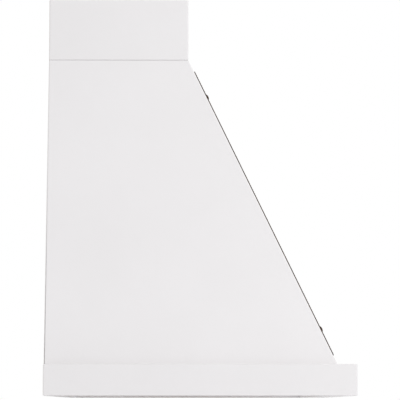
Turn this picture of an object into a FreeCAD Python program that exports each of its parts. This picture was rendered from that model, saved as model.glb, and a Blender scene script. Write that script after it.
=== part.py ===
import FreeCAD, Part
import math
import os
import Sketcher

# Wooden cover for a wall-mounted range hood: a block band round the foot, a body with a sloped front and
# leaning sides, and an upright chimney, with two metal straps on the sloped front.
# Millimetres. +Z is up, the front faces -Y, the wall is the plane at the far +Y side, and the origin is
# the centre of the foot. "Left" is the -X side.

SIZES = {
    # the outside
    "overall_width": 914.0,
    "overall_depth": 581.0,
    "overall_height": 762.0,
    "band_height": 58.5,
    "band_thickness": 19.0,
    "front_ledge": 35.5,  # how far the band stands in front of the foot of the sloped panel
    "chimney_height": 117.5,
    "chimney_depth": 268.5,
    "side_lean_width": 90.0,  # how far each side panel leans inwards over its height
    "panel_thickness": 18.0,
    "corner_radius": 3.0,  # rounded upright corners and hips
    "arris_chamfer": 1.2,  # eased level edges
    "seam_chamfer": 1.0,  # each half of the V joint between the body and the chimney
    # base frame and insert shelf
    "base_front_thickness": 38.0,
    "base_rail_thickness": 19.0,
    "ledger_height": 19.0,
    "ledger_width": 19.0,
    "ledger_recess": 10.0,  # from the foot up to the ledgers
    "shelf_thickness": 12.0,
    "shelf_clearance": 0.5,
    "insert_side_border": 59.0,  # from the cut-out for the insert to the base frame, left and right
    "insert_depth": 290.0,
    "insert_corner_radius": 12.0,
    "insert_screw_margin": 12.0,
    "insert_screw_hole": 4.0,
    # rails and stiles against the wall
    "wall_rail_thickness": 18.0,
    "wall_rail_height": 90.0,
    "hanging_hole_rise": 50.0,  # between the two rows of holes in the hanging rail
    "stile_width": 45.0,
    "stud_spacing": 406.4,
    "wall_screw_hole": 5.5,
    "chimney_rail_height": 70.0,
    # battens, deck rails, cleats and blocks
    "hip_batten_leg": 28.0,
    "deck_rail_width": 26.0,
    "deck_rail_height": 38.0,
    "cleat_width": 19.0,
    "cleat_height": 38.0,
    "corner_block_leg": 30.0,
    "corner_block_height": 60.0,
    # straps and their buttons
    "strap_width": 38.0,
    "strap_thickness": 3.2,
    "strap_inset": 20.0,  # from the hip to the outer edge of the strap
    "strap_foot_gap": 22.0,  # from the band to the lower end of the strap
    "strap_head_gap": 20.0,  # from the upper end of the strap to the chimney
    "strap_arris": 0.5,
    "button_foot_margin": 56.0,  # from the ends of the strap to the middle of the buttons
    "button_head_margin": 52.4,
    "button_diameter": 14.0,
    "button_rise": 3.5,
    "button_shank": 5.0,
    "button_shank_length": 14.0,
    # cabinet screws with flat washer heads
    "screw_diameter": 4.0,
    "screw_head": 10.0,
    "screw_head_height": 2.0,
    "shank_clearance": 0.2,
    "shelf_screw_length": 25.0,
    "shelf_screw_margin": 39.0,  # from the base frame to the outer screws of the shelf
    "chimney_screw_length": 60.0,
    "chimney_screw_margin": 42.0,  # from the ends of the deck rail to its screws
}

# Places and slopes that follow from the sizes.
PLACES = {
    "wall": "Sizes.overall_depth / 2",
    "outer_x": "Sizes.overall_width / 2",
    "outer_front": "-Sizes.overall_depth / 2",
    "foot": "Sizes.band_height",
    "head": "Sizes.overall_height - Sizes.chimney_height",
    "rise": "head - foot",
    # outside of the body at its foot and at its head
    "foot_x": "outer_x - Sizes.band_thickness",
    "foot_front": "outer_front + Sizes.front_ledge",
    "head_x": "foot_x - Sizes.side_lean_width",
    "head_front": "wall - Sizes.chimney_depth",
    # the run of each leaning panel over one unit of height
    "side_slope": "Sizes.side_lean_width / rise",
    "front_slope": "(head_front - foot_front) / rise",
    "front_lean": "atan(front_slope)",
    # what a leaning panel takes up when it is measured level
    "side_wall": "Sizes.panel_thickness * sqrt(1 + side_slope ^ 2)",
    "front_wall": "Sizes.panel_thickness * sqrt(1 + front_slope ^ 2)",
    # inner corner of the body at its foot
    "inner_x": "foot_x - side_wall",
    "inner_front": "foot_front + front_wall",
    # the hip as it lies on the sloped front face, and the strap beside it
    "front_length": "rise * sqrt(1 + front_slope ^ 2)",
    "hip_length": "sqrt(front_length ^ 2 + Sizes.side_lean_width ^ 2)",
    "hip_turn": "atan(Sizes.side_lean_width / front_length)",
    "strap_x": "Sizes.strap_foot_gap * sin(hip_turn) + Sizes.strap_inset * cos(hip_turn) - foot_x",
    "strap_low": "Sizes.strap_foot_gap * cos(hip_turn) - Sizes.strap_inset * sin(hip_turn)",
    "strap_length": "hip_length - Sizes.strap_foot_gap - Sizes.strap_head_gap",
    "button_pitch": "strap_length - Sizes.button_foot_margin - Sizes.button_head_margin",
    # the bay inside the base frame
    "base_front": "outer_front + Sizes.band_thickness",
    "bay_front": "base_front + Sizes.base_front_thickness",
    "bay_back": "wall - Sizes.base_rail_thickness",
    "bay_x": "foot_x - Sizes.base_rail_thickness",
    "bay_middle": "(bay_front + bay_back) / 2",
    "shelf_low": "Sizes.ledger_recess + Sizes.ledger_height",
    "shelf_high": "shelf_low + Sizes.shelf_thickness",
    "insert_x": "bay_x - Sizes.insert_side_border",
    "shelf_screw_x": "bay_x - Sizes.shelf_screw_margin",
    # the rails, the deck and the chimney
    "rail_front": "wall - Sizes.wall_rail_thickness",
    "lower_rail_top": "foot + Sizes.wall_rail_height",
    "hanging_rail_low": "head - Sizes.wall_rail_height",
    "deck_low": "head - Sizes.deck_rail_height",
    "deck_x": "head_x - side_wall - Sizes.deck_rail_width",
    "deck_back": "head_front + front_wall + Sizes.deck_rail_width",
    "flue_x": "head_x - Sizes.panel_thickness",
    "flue_front": "head_front + Sizes.panel_thickness",
    "cleat_top": "head + Sizes.cleat_height",
    "cleat_x": "flue_x - Sizes.cleat_width / 2",
    "chimney_screw_pitch": "rail_front - deck_back - 2 * Sizes.chimney_screw_margin",
    "chimney_rail_low": "Sizes.overall_height - Sizes.chimney_rail_height",
}

UPRIGHT = ("0", "0")
HIP = ("Places.side_slope", "Places.front_slope")
POINTING_DOWN = "rotation(vector(1; 0; 0); 90)"
POINTING_FRONT = "rotation(vector(0; 0; 1); 0)"
POINTING_BACK = "rotation(vector(0; 0; 1); 180)"
OVERSHOOT = "1"  # how far a drill or a cutter stands out of the face that it enters

doc = FreeCAD.newDocument("range_hood_cover")
pieces = {}


# ---------------------------------------------------------------- sheets, formulas and sketches


def fill_sheet(label, cells):
    """A spreadsheet with one named cell to a row."""
    sheet = doc.addObject("Spreadsheet::Sheet", label)
    for row, (name, content) in enumerate(cells.items(), start=1):
        sheet.set(f"A{row}", name)
        sheet.set(f"B{row}", content)
        sheet.setAlias(f"B{row}", name)
    doc.recompute()


def bind(thing, **formulas):
    """Ties properties to formulas; a double underscore in a name stands for a dot."""
    for name, formula in formulas.items():
        thing.setExpression(name.replace("__", "."), formula)
    return thing


def value_of(thing, formula):
    value = thing.evalExpression(formula)
    return float(getattr(value, "Value", value))


def placed(x, y, z, turn=POINTING_FRONT):
    return f"placement(vector({x}; {y}; {z}); {turn})"


def origin_feature(body, role):
    return next(item for item in body.Origin.OriginFeatures if item.Role == role)


def new_sketch(body, name, plane, offset="0"):
    sketch = body.newObject("Sketcher::SketchObject", name)
    sketch.AttachmentSupport = [(origin_feature(body, plane), "")]
    sketch.MapMode = "FlatFace"
    return bind(sketch, AttachmentOffset__Base__z=offset)


def pin_point(sketch, geometry, end, x, y):
    """Holds one end of a line or an arc at the place that two formulas give."""
    for kind, formula in (("DistanceX", x), ("DistanceY", y)):
        distance = Sketcher.Constraint(kind, -1, 1, geometry, end, value_of(sketch, formula))
        sketch.setExpression(f"Constraints[{sketch.addConstraint(distance)}]", formula)


def draw_lines(sketch, corners, closed=True):
    """Lines from corner to corner, each corner a pair of formulas."""
    points = [FreeCAD.Vector(value_of(sketch, x), value_of(sketch, y), 0) for x, y in corners]
    ends = points[1:] + points[:1] if closed else points[1:]
    lines = [sketch.addGeometry(Part.LineSegment(*pair), False) for pair in zip(points, ends)]
    for line, following in zip(lines, lines[1:] + lines[:1] if closed else lines[1:]):
        sketch.addConstraint(Sketcher.Constraint("Coincident", line, 2, following, 1))
    for line, corner in zip(lines, corners):
        pin_point(sketch, line, 1, *corner)
    return lines


def outline(body, name, plane, corners, offset="0"):
    """A closed straight-sided outline on one of the body's own planes."""
    sketch = new_sketch(body, name, plane, offset)
    draw_lines(sketch, corners)
    return sketch


def rectangle(low, high):
    return [(low[0], low[1]), (high[0], low[1]), (high[0], high[1]), (low[0], high[1])]


# ---------------------------------------------------------------- solids and what is done to them


def extrude(body, sketch, length, kind="Pad"):
    feature = body.newObject(f"PartDesign::{kind}", kind.lower())
    feature.Profile = sketch
    return bind(feature, Length=length)


def leaning_prism(label, corners, slopes, low, height):
    """A stick with level ends that leans by the given slopes; its outline is the one at its foot."""
    body = doc.addObject("PartDesign::Body", label)
    feature = extrude(body, outline(body, "foot_outline", "XY_Plane", corners, low), height)
    feature.UseCustomVector = True
    feature.Direction = FreeCAD.Vector(0, 0, 1)
    bind(feature, Direction__x=slopes[0], Direction__y=slopes[1])
    return body


def frustum(label, low, high, foot, head):
    """A block against the wall plane with level ends, each given as its half width and its front."""
    body = doc.addObject("PartDesign::Body", label)
    block = body.newObject("PartDesign::AdditiveWedge", "block")
    block.Placement = FreeCAD.Placement(FreeCAD.Vector(), FreeCAD.Rotation(FreeCAD.Vector(1, 0, 0), 90))
    bind(block, Ymin=low, Ymax=high)
    for prefix, (half_width, front) in (("", foot), ("2", head)):
        bind(block, **{f"X{prefix}min": f"-({half_width})", f"X{prefix}max": half_width})
        bind(block, **{f"Z{prefix}min": "-Places.wall", f"Z{prefix}max": f"-({front})"})
    doc.recompute()
    return body


def board(label, low, high):
    """A square-cut board between two opposite corners."""
    box = doc.addObject("Part::Box", label)
    for size, base, start, end in zip(("Length", "Width", "Height"), "xyz", low, high):
        bind(box, **{size: f"{end} - ({start})", f"Placement__Base__{base}": start})
    return box


def boolean(kind, label, base, tool):
    result = doc.addObject(f"Part::{kind}", label)
    result.Base = base
    result.Tool = tool
    return result


def cut(label, base, tool):
    return boolean("Cut", label, base, tool)


def common(label, base, tool):
    return boolean("Common", label, base, tool)


def compound(label, things):
    group = doc.addObject("Part::Compound", label)
    group.Links = things
    return group


def mirrored(label, source):
    """The right-hand twin of a left-hand piece."""
    twin = doc.addObject("Part::Mirroring", label)
    twin.Source = source
    twin.Normal = FreeCAD.Vector(1, 0, 0)
    return twin


def both_sides(label, left):
    return compound(label, [left, mirrored(f"{label}_right", left)])


def keep(label, thing):
    """Puts a finished sub-part on the list of pieces under its own name."""
    thing.Label = label
    pieces[label] = thing


def keep_pair(name, left):
    keep(f"left_{name}", left)
    keep(f"right_{name}", mirrored(f"right_{name}", left))


def dress_edges(body, kind, chosen, **sizes):
    """Eases those edges of a body that a test picks out."""
    base = body.Tip
    names = [f"Edge{number}" for number, edge in enumerate(base.Shape.Edges, start=1) if chosen(edge)]
    feature = body.newObject(f"PartDesign::{kind}", kind.lower())
    feature.Base = (base, names)
    bind(feature, **sizes)
    doc.recompute()


def rises(edge):
    return abs(edge.Vertexes[0].Z - edge.Vertexes[-1].Z) > 1


def lies_at(axis, formula):
    """A test for edges that lie wholly at one place along an axis."""
    level = value_of(doc.Sizes, formula)

    def test(edge):
        box = edge.BoundBox
        return all(abs(getattr(box, f"{axis}{end}") - level) < 0.01 for end in ("Min", "Max"))

    return test


# ---------------------------------------------------------------- turned pieces and drilled holes


def repeat(body, feature, rows):
    """Repeats a feature on the body's X and Z axes; rows maps an axis to its pitch and count."""
    pattern = body.newObject("PartDesign::LinearPattern", "rows")
    pattern.Originals = [feature]
    for suffix, (axis, (pitch, count)) in zip(("", "2"), rows.items()):
        setattr(pattern, f"Direction{suffix}", (origin_feature(body, f"{axis}_Axis"), [""]))
        setattr(pattern, f"Mode{suffix}", "Extent")
        setattr(pattern, f"Occurrences{suffix}", count)
        bind(pattern, **{f"Length{suffix}": f"({pitch}) * {count - 1}"})
    body.Tip = pattern


def turn(body, sketch):
    feature = body.newObject("PartDesign::Revolution", "turning")
    feature.Profile = sketch
    feature.ReferenceAxis = (sketch, ["V_Axis"])
    return feature


def turned(label, profile, seat, rows):
    """Turned solids whose profile is (radius, height) round their own Y axis."""
    body = doc.addObject("PartDesign::Body", label)
    repeat(body, turn(body, outline(body, "profile", "XY_Plane", profile)), rows)
    return bind(body, Placement=seat)


def drill(label, hole, depth, seat, rows):
    """Straight drills; a hole of that width and depth below each seat is what they cut."""
    profile = rectangle(("0", f"-({depth})"), (f"({hole}) / 2", OVERSHOOT))
    return turned(label, profile, seat, rows)


def make_screws(label, length, seat, rows):
    """Identical washer-head screws, and the drills for their holes."""
    shank, head, top = "Sizes.screw_diameter / 2", "Sizes.screw_head / 2", "Sizes.screw_head_height"
    tip = f"-({length})"
    profile = [("0", tip), (shank, tip), (shank, "0"), (head, "0"), (head, top), ("0", top)]
    hole = "Sizes.screw_diameter + 2 * Sizes.shank_clearance"
    drills = drill(f"{label}_drill", hole, f"{length} + Sizes.shank_clearance", seat, rows)
    keep(label, turned(label, profile, seat, rows))
    return drills


# ---------------------------------------------------------------- mitred shells


def mitre_cutter(label, corner, walls, slopes, low, height):
    """The block left of a mitre; the joint runs from the shell's outer corner through its inner one."""
    (x, y), (side, front) = corner, walls
    outer, inner = f"{x} - {side}", f"{x} + 2 * {side}"
    behind = "Places.wall + Sizes.panel_thickness"
    corners = [(outer, f"{y} - {front}"), (inner, f"{y} + 2 * {front}"), (inner, behind), (outer, behind)]
    return leaning_prism(label, corners, slopes, low, height)


def three_sided_shell(prefix, outside, inside, cutter):
    """Saws a shell that is open at the back into its front and its left side, mitred at the corner."""
    shell = cut(f"{prefix}_shell", outside, inside)
    front = cut(f"{prefix}_front_blank", shell, both_sides(f"{prefix}_cutters", cutter))
    return front, common(f"{prefix}_side_blank", shell, cutter)


def rounded_block(label, low, high, foot, head, chamfers):
    """A block against the wall plane with rounded hips; chamfers maps a level to its chamfer's size."""
    block = frustum(label, low, high, foot, head)
    dress_edges(block, "Fillet", rises, Radius="Sizes.corner_radius")
    for level, size in chamfers.items():
        dress_edges(block, "Chamfer", lies_at("Z", level), Size=size)
    return block


def make_body():
    """The tapered body: front and side panels that meet in compound mitres along the hips."""
    low, high = "Places.foot", "Places.head"
    foot, head = ("Places.foot_x", "Places.foot_front"), ("Places.head_x", "Places.head_front")
    walls = ("Places.side_wall", "Places.front_wall")
    hollow = [(f"{x} - {walls[0]}", f"{y} + {walls[1]}") for x, y in (foot, head)]
    outside = rounded_block("body_outside", low, high, foot, head, {high: "Sizes.seam_chamfer"})
    inside = frustum("body_inside", low, high, *hollow)
    cutter = mitre_cutter("body_cutter", (f"-{foot[0]}", foot[1]), walls, HIP, low, "Places.rise")
    front, side = three_sided_shell("body", outside, inside, cutter)
    keep_pair("side_panel", side)
    return front, inside


def upright_shell(prefix, corner, wall, low, high, chamfers):
    """An upright box of mitred boards, open at the back; returns its front and its left side."""
    x, y = corner
    outside = rounded_block(f"{prefix}_outside", low, high, corner, corner, chamfers)
    hollow = (f"{x} - {wall}", f"{y} + {wall}")
    inside = frustum(f"{prefix}_inside", low, high, hollow, hollow)
    height = f"{high} - {low}"
    cutter = mitre_cutter(f"{prefix}_cutter", (f"-{x}", y), (wall, wall), UPRIGHT, low, height)
    return three_sided_shell(prefix, outside, inside, cutter)


def make_band():
    """The block band round the foot."""
    corner, low, high = ("Places.outer_x", "Places.outer_front"), "0", "Places.foot"
    chamfers = {low: "Sizes.arris_chamfer", high: "Sizes.arris_chamfer"}
    front, side = upright_shell("band", corner, "Sizes.band_thickness", low, high, chamfers)
    keep("band_front", front)
    keep_pair("band_side", side)


def make_chimney():
    """The upright chimney: mitred boards, with half of the V joint round their foot."""
    corner, low, high = ("Places.head_x", "Places.head_front"), "Places.head", "Sizes.overall_height"
    chamfers = {low: "Sizes.seam_chamfer", high: "Sizes.arris_chamfer"}
    front, side = upright_shell("chimney", corner, "Sizes.panel_thickness", low, high, chamfers)
    keep("chimney_front", front)
    keep_pair("chimney_side", side)


# ---------------------------------------------------------------- base frame and insert shelf


def make_base_frame():
    """Four rails inside the band; the panels of the body stand on them."""
    corner = ("-Places.foot_x", "Places.base_front", "0")
    keep("base_front_rail", board("front_rail", corner, ("Places.foot_x", "Places.bay_front", "Places.foot")))
    corner = ("-Places.foot_x", "Places.bay_front", "0")
    keep_pair("base_rail", board("side_rail", corner, ("-Places.bay_x", "Places.wall", "Places.foot")))
    corner = ("-Places.bay_x", "Places.bay_back", "0")
    keep("base_back_rail", board("back_rail", corner, ("Places.bay_x", "Places.wall", "Places.foot")))


def make_ledgers(shelf_drill):
    """Strips on the base frame that carry the insert shelf."""
    low, high = "Sizes.ledger_recess", "Places.shelf_low"
    front_edge = "Places.bay_front + Sizes.ledger_width"
    back_edge = "Places.bay_back - Sizes.ledger_width"
    side_edge = "-Places.bay_x + Sizes.ledger_width"
    left, right = "-Places.bay_x", "Places.bay_x"
    front = board("front_strip", (left, "Places.bay_front", low), (right, front_edge, high))
    back = board("back_strip", (left, back_edge, low), (right, "Places.bay_back", high))
    side = board("side_strip", (left, front_edge, low), (side_edge, back_edge, high))
    keep("front_ledger", cut("front_strip_drilled", front, shelf_drill))
    keep("back_ledger", cut("back_strip_drilled", back, shelf_drill))
    keep_pair("ledger", side)


def make_insert_shelf(shelf_drill):
    """The plywood shelf with the round-cornered cut-out for the ventilation insert."""
    gap, margin = "Sizes.shelf_clearance", "Sizes.insert_screw_margin"
    x, y = f"Places.bay_x - {gap}", (f"Places.bay_front + {gap}", f"Places.bay_back - {gap}")
    plate = rectangle((f"-({x})", y[0]), (x, y[1]))
    half_depth = "Sizes.insert_depth / 2"
    low, high = f"Places.bay_middle - {half_depth}", f"Places.bay_middle + {half_depth}"
    opening = rectangle(("-Places.insert_x", low), ("Places.insert_x", high))

    body = doc.addObject("PartDesign::Body", "shelf_blank")
    extrude(body, outline(body, "plate", "XY_Plane", plate, "Places.shelf_low"), "Sizes.shelf_thickness")
    mouth = outline(body, "opening", "XY_Plane", opening, "Places.shelf_high")
    extrude(body, mouth, "Sizes.shelf_thickness", kind="Pocket")
    doc.recompute()
    at_left, at_right = lies_at("X", "-Places.insert_x"), lies_at("X", "Places.insert_x")
    dress_edges(
        body,
        "Fillet",
        lambda edge: rises(edge) and (at_left(edge) or at_right(edge)),
        Radius="Sizes.insert_corner_radius",
    )
    insert_drill = drill(
        "insert_drill",
        "Sizes.insert_screw_hole",
        f"Sizes.shelf_thickness + {OVERSHOOT}",
        placed(f"-Places.insert_x - {margin}", f"{high} + {margin}", "Places.shelf_high", POINTING_DOWN),
        {"X": (f"2 * (Places.insert_x + {margin})", 2), "Z": (f"Sizes.insert_depth + 2 * {margin}", 2)},
    )
    keep("insert_shelf", cut("shelf_drilled", body, compound("shelf_drills", [shelf_drill, insert_drill])))


# ---------------------------------------------------------------- rails, stiles and battens in the body


def wall_rail(label, half_width, low, high, inside=None):
    """A rail against the wall with holes on the stud spacing; inside trims its ends to the lean."""
    corner = (f"-{half_width}", "Places.rail_front", low)
    rail = board(f"{label}_blank", corner, (half_width, "Places.wall", high))
    return common(f"{label}_fitted", rail, inside) if inside else rail


def stud_drill(label, level, second_row=None):
    """Drills for screws into two studs, in one row or in two, through a rail from its room side."""
    rows = {"X": ("Sizes.stud_spacing", 2)}
    if second_row:
        rows["Z"] = (second_row, 2)
    seat = placed("Sizes.stud_spacing / 2", "Places.rail_front", level, POINTING_BACK)
    return drill(label, "Sizes.wall_screw_hole", f"Sizes.wall_rail_thickness + {OVERSHOOT}", seat, rows)


def make_wall_rails(inside):
    """The two rails of the body that are screwed to the wall, and the stiles between them."""
    height, rise = "Sizes.wall_rail_height", "Sizes.hanging_hole_rise"
    lower = wall_rail("lower_rail", "Places.foot_x", "Places.foot", "Places.lower_rail_top", inside)
    lower_drill = stud_drill("lower_rail_drill", f"Places.foot + {height} / 2")
    keep("lower_mounting_rail", cut("lower_rail_drilled", lower, lower_drill))
    upper = wall_rail("upper_rail", "Places.foot_x", "Places.hanging_rail_low", "Places.head", inside)
    upper_drill = stud_drill("upper_rail_drill", f"Places.head - ({height} + {rise}) / 2", rise)
    keep("hanging_rail", cut("upper_rail_drilled", upper, upper_drill))
    edge = f"-Places.inner_x + Places.side_slope * {height}"
    corners = rectangle((edge, "Places.rail_front"), (f"{edge} + Sizes.stile_width", "Places.wall"))
    lean = (HIP[0], "0")
    stile = leaning_prism("stile", corners, lean, "Places.lower_rail_top", f"Places.rise - 2 * {height}")
    keep_pair("back_stile", stile)


def corner_triangle(x, y, leg):
    return [(x, y), (f"{x} + {leg}", y), (x, f"{y} + {leg}")]


def make_hip_battens():
    """Three-cornered glue battens behind the compound mitres."""
    corners = corner_triangle("-Places.inner_x", "Places.inner_front", "Sizes.hip_batten_leg")
    height = "Places.rise - Sizes.deck_rail_height"
    keep_pair("hip_batten", leaning_prism("batten", corners, HIP, "Places.foot", height))


def make_deck(chimney_drill, inside):
    """Rails round the head of the body; the chimney stands on them."""
    corner = ("-Places.foot_x", "Places.foot_front", "Places.deck_low")
    front = board("deck_front", corner, ("Places.foot_x", "Places.deck_back", "Places.head"))
    keep("deck_front_rail", common("deck_front_fitted", front, inside))
    corner = ("-Places.foot_x", "Places.deck_back", "Places.deck_low")
    side = board("deck_side", corner, ("-Places.deck_x", "Places.rail_front", "Places.head"))
    fitted = common("deck_side_fitted", side, inside)
    keep_pair("deck_rail", cut("deck_side_drilled", fitted, chimney_drill))


# ---------------------------------------------------------------- inside the chimney


def make_chimney_inside(chimney_drill):
    """Cleats round the foot of the chimney, glue blocks above them and the rail at the wall."""
    behind = "Places.flue_front + Sizes.cleat_width"
    corner = ("-Places.flue_x", "Places.flue_front", "Places.head")
    keep("chimney_front_cleat", board("front_cleat", corner, ("Places.flue_x", behind, "Places.cleat_top")))
    corner, edge = ("-Places.flue_x", behind, "Places.head"), "-Places.flue_x + Sizes.cleat_width"
    side = board("side_cleat", corner, (edge, "Places.wall", "Places.cleat_top"))
    keep_pair("chimney_cleat", cut("side_cleat_drilled", side, chimney_drill))
    corners = corner_triangle("-Places.flue_x", "Places.flue_front", "Sizes.corner_block_leg")
    block = leaning_prism("block", corners, UPRIGHT, "Places.cleat_top", "Sizes.corner_block_height")
    keep_pair("chimney_corner_block", block)
    rail = wall_rail("chimney_rail", "Places.flue_x", "Places.chimney_rail_low", "Sizes.overall_height")
    rail_drill = stud_drill("chimney_rail_drill", "Sizes.overall_height - Sizes.chimney_rail_height / 2")
    keep("chimney_back_rail", cut("chimney_rail_drilled", rail, rail_drill))


# ---------------------------------------------------------------- straps and buttons


def make_buttons(seat, rows):
    """Domed buttons with their shanks; the dome is part of a ball."""
    radius, rise = "Sizes.button_diameter / 2", "Sizes.button_rise"
    shank, bottom = "Sizes.button_shank / 2", "-Sizes.button_shank_length"
    body = doc.addObject("PartDesign::Body", "buttons")
    sketch = new_sketch(body, "profile", "XY_Plane")
    stem = [("0", rise), ("0", bottom), (shank, bottom), (shank, "0"), (radius, "0")]
    lines = draw_lines(sketch, stem, closed=False)
    rim, crown = value_of(sketch, radius), value_of(sketch, rise)
    ball = (rim**2 + crown**2) / (2 * crown)
    circle = Part.Circle(FreeCAD.Vector(0, crown - ball, 0), FreeCAD.Vector(0, 0, 1), ball)
    start = math.atan2(ball - crown, rim)
    dome = sketch.addGeometry(Part.ArcOfCircle(circle, start, math.pi / 2), False)
    sketch.addConstraint(Sketcher.Constraint("Coincident", lines[-1], 2, dome, 1))
    sketch.addConstraint(Sketcher.Constraint("Coincident", dome, 2, lines[0], 1))
    sketch.addConstraint(Sketcher.Constraint("PointOnObject", dome, 3, -2))
    pin_point(sketch, dome, 1, radius, "0")
    repeat(body, turn(body, sketch), rows)
    return bind(body, Placement=seat)


def make_straps(front_blank):
    """Flat bars that lie on the front panel parallel to the hips, held by two buttons each."""
    width, thickness = "Sizes.strap_width", "Sizes.strap_thickness"
    lean = "rotation(vector(1; 0; 0); -Places.front_lean)"
    turn_in = "rotation(vector(0; 1; 0); Places.hip_turn)"
    on_front = placed("0", "Places.foot_front", "Places.foot", lean)
    on_hip = f"{on_front} * {placed('Places.strap_x', '0', 'Places.strap_low', turn_in)}"
    body = doc.addObject("PartDesign::Body", "bar")
    face = rectangle(("0", "0"), (width, "Places.strap_length"))
    extrude(body, outline(body, "face", "XZ_Plane", face), thickness)
    doc.recompute()
    dress_edges(body, "Chamfer", lies_at("Y", f"-{thickness}"), Size="Sizes.strap_arris")
    bar = bind(body, Placement=on_hip)

    seat = f"{on_hip} * {placed(f'{width} / 2', f'-{thickness}', 'Sizes.button_foot_margin', POINTING_BACK)}"
    rows = {"Z": ("Places.button_pitch", 2)}
    gap = "Sizes.shank_clearance"
    hole, depth = f"Sizes.button_shank + 2 * {gap}", f"Sizes.button_shank_length + {gap}"
    button_drill = drill("button_drill", hole, depth, seat, rows)
    keep_pair("strap", cut("bar_drilled", bar, button_drill))
    keep("strap_buttons", both_sides("button_set", make_buttons(seat, rows)))
    keep("front_panel", cut("front_panel_drilled", front_blank, both_sides("button_drills", button_drill)))


# ---------------------------------------------------------------- the screws and the whole cover


def make_shelf_screws():
    """Screws down through the insert shelf into the front and back ledgers."""
    ledger_middle = "Places.bay_back - Sizes.ledger_width / 2"
    seat = placed("-Places.shelf_screw_x", ledger_middle, "Places.shelf_high", POINTING_DOWN)
    rows = {
        "X": ("Places.shelf_screw_x", 3),
        "Z": ("Places.bay_back - Places.bay_front - Sizes.ledger_width", 2),
    }
    return make_screws("shelf_screws", "Sizes.shelf_screw_length", seat, rows)


def make_chimney_screws():
    """Screws down through the side cleats of the chimney into the deck rails."""
    first = "Places.rail_front - Sizes.chimney_screw_margin"
    seat = placed("-Places.cleat_x", first, "Places.cleat_top", POINTING_DOWN)
    rows = {"X": ("2 * Places.cleat_x", 2), "Z": ("Places.chimney_screw_pitch", 2)}
    return make_screws("chimney_screws", "Sizes.chimney_screw_length", seat, rows)


def make_cover():
    shelf_drill = make_shelf_screws()
    chimney_drill = make_chimney_screws()
    make_band()
    make_base_frame()
    make_ledgers(shelf_drill)
    make_insert_shelf(shelf_drill)
    front_blank, inside = make_body()
    make_straps(front_blank)
    make_wall_rails(inside)
    make_hip_battens()
    make_deck(chimney_drill, inside)
    make_chimney()
    make_chimney_inside(chimney_drill)


def check_document():
    """Stops if any object failed, or if a sub-part holds no valid solid."""
    for thing in doc.Objects:
        if {"Invalid", "Error"} & set(thing.State):
            raise RuntimeError(f"{thing.Label} failed: {thing.State}")
    for label, thing in pieces.items():
        shape = thing.Shape
        if shape.isNull() or not shape.isValid() or not shape.Solids:
            raise RuntimeError(f"{label} has no valid solid")


def write_parts():
    os.makedirs("parts", exist_ok=True)
    for label, thing in pieces.items():
        solids = thing.Shape.Solids
        shape = solids[0] if len(solids) == 1 else Part.makeCompound(solids)
        shape.exportStep(f"parts/{label}.step")
        print(f"{label}: {len(solids)} solid(s), {shape.Volume / 1000:.1f} cm3")


fill_sheet("Sizes", {name: str(value) for name, value in SIZES.items()})
fill_sheet("Places", {name: f"={formula}" for name, formula in PLACES.items()})
make_cover()
doc.recompute()
check_document()
write_parts()
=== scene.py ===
"""Dresses a wall-hung wooden range hood cover: painted shell, timber frame, bronze straps and screws.

Lengths are in metres. X runs to the right along the wall, Y runs back into the wall and Z runs up. Every
piece takes its size and place from the loaded frame; what is set here is finish, the easing of edges,
fine metalwork and the studio.
"""

import logging
import math
import random
from dataclasses import dataclass
from enum import Enum
from functools import cache
from typing import Callable, Iterable, Sequence

import bmesh
import bpy
from mathutils import Matrix, Vector, noise


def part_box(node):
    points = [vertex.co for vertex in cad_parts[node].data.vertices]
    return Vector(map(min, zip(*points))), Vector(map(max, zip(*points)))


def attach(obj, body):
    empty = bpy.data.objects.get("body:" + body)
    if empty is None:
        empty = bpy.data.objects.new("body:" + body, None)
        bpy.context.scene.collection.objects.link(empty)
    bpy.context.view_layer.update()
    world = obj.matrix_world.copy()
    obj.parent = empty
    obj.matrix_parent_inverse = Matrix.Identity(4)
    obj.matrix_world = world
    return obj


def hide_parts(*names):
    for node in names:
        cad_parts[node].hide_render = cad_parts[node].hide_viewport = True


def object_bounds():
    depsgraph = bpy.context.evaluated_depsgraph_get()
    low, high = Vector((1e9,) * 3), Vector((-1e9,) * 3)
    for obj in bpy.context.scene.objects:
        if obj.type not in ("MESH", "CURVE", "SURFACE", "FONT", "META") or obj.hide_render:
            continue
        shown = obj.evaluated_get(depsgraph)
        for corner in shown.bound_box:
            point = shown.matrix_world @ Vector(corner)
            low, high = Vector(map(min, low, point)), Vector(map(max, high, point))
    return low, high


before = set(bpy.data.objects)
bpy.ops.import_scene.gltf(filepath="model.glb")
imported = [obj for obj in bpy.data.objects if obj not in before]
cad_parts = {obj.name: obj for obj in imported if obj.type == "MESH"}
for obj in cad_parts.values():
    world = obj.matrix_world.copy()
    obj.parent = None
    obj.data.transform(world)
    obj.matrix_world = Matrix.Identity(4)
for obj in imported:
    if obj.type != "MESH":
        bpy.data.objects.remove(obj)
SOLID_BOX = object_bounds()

log = logging.getLogger("hood_cover")

BMesh = bmesh.types.BMesh
Material = bpy.types.Material
Socket = bpy.types.NodeSocket
SocketValue = float | str | tuple[float, ...] | Socket
Inputs = dict[str | int, SocketValue]
Colour = tuple[float, float, float]
Span = tuple[float, float]
Names = tuple[str, ...]

UP = Vector((0.0, 0.0, 1.0))
WHITE = (1.0, 1.0, 1.0, 1.0)

# Values that a mesh carries on its points, for its finish or for the fastener tree.
GRAIN = "grain"
WORN = "worn"
OUTWARD = "outward"

# Points this near to each other are one point, in a solid and in a mesh that is made here.
TOUCHING = 5e-6
MERGED = 1e-7

# Faces that bend less than FLAT are one face, and edges that bend more than SHARP are corners.
FLAT = math.radians(0.4)
SHARP = math.radians(35.0)


# Node trees -------------------------------------------------


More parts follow.
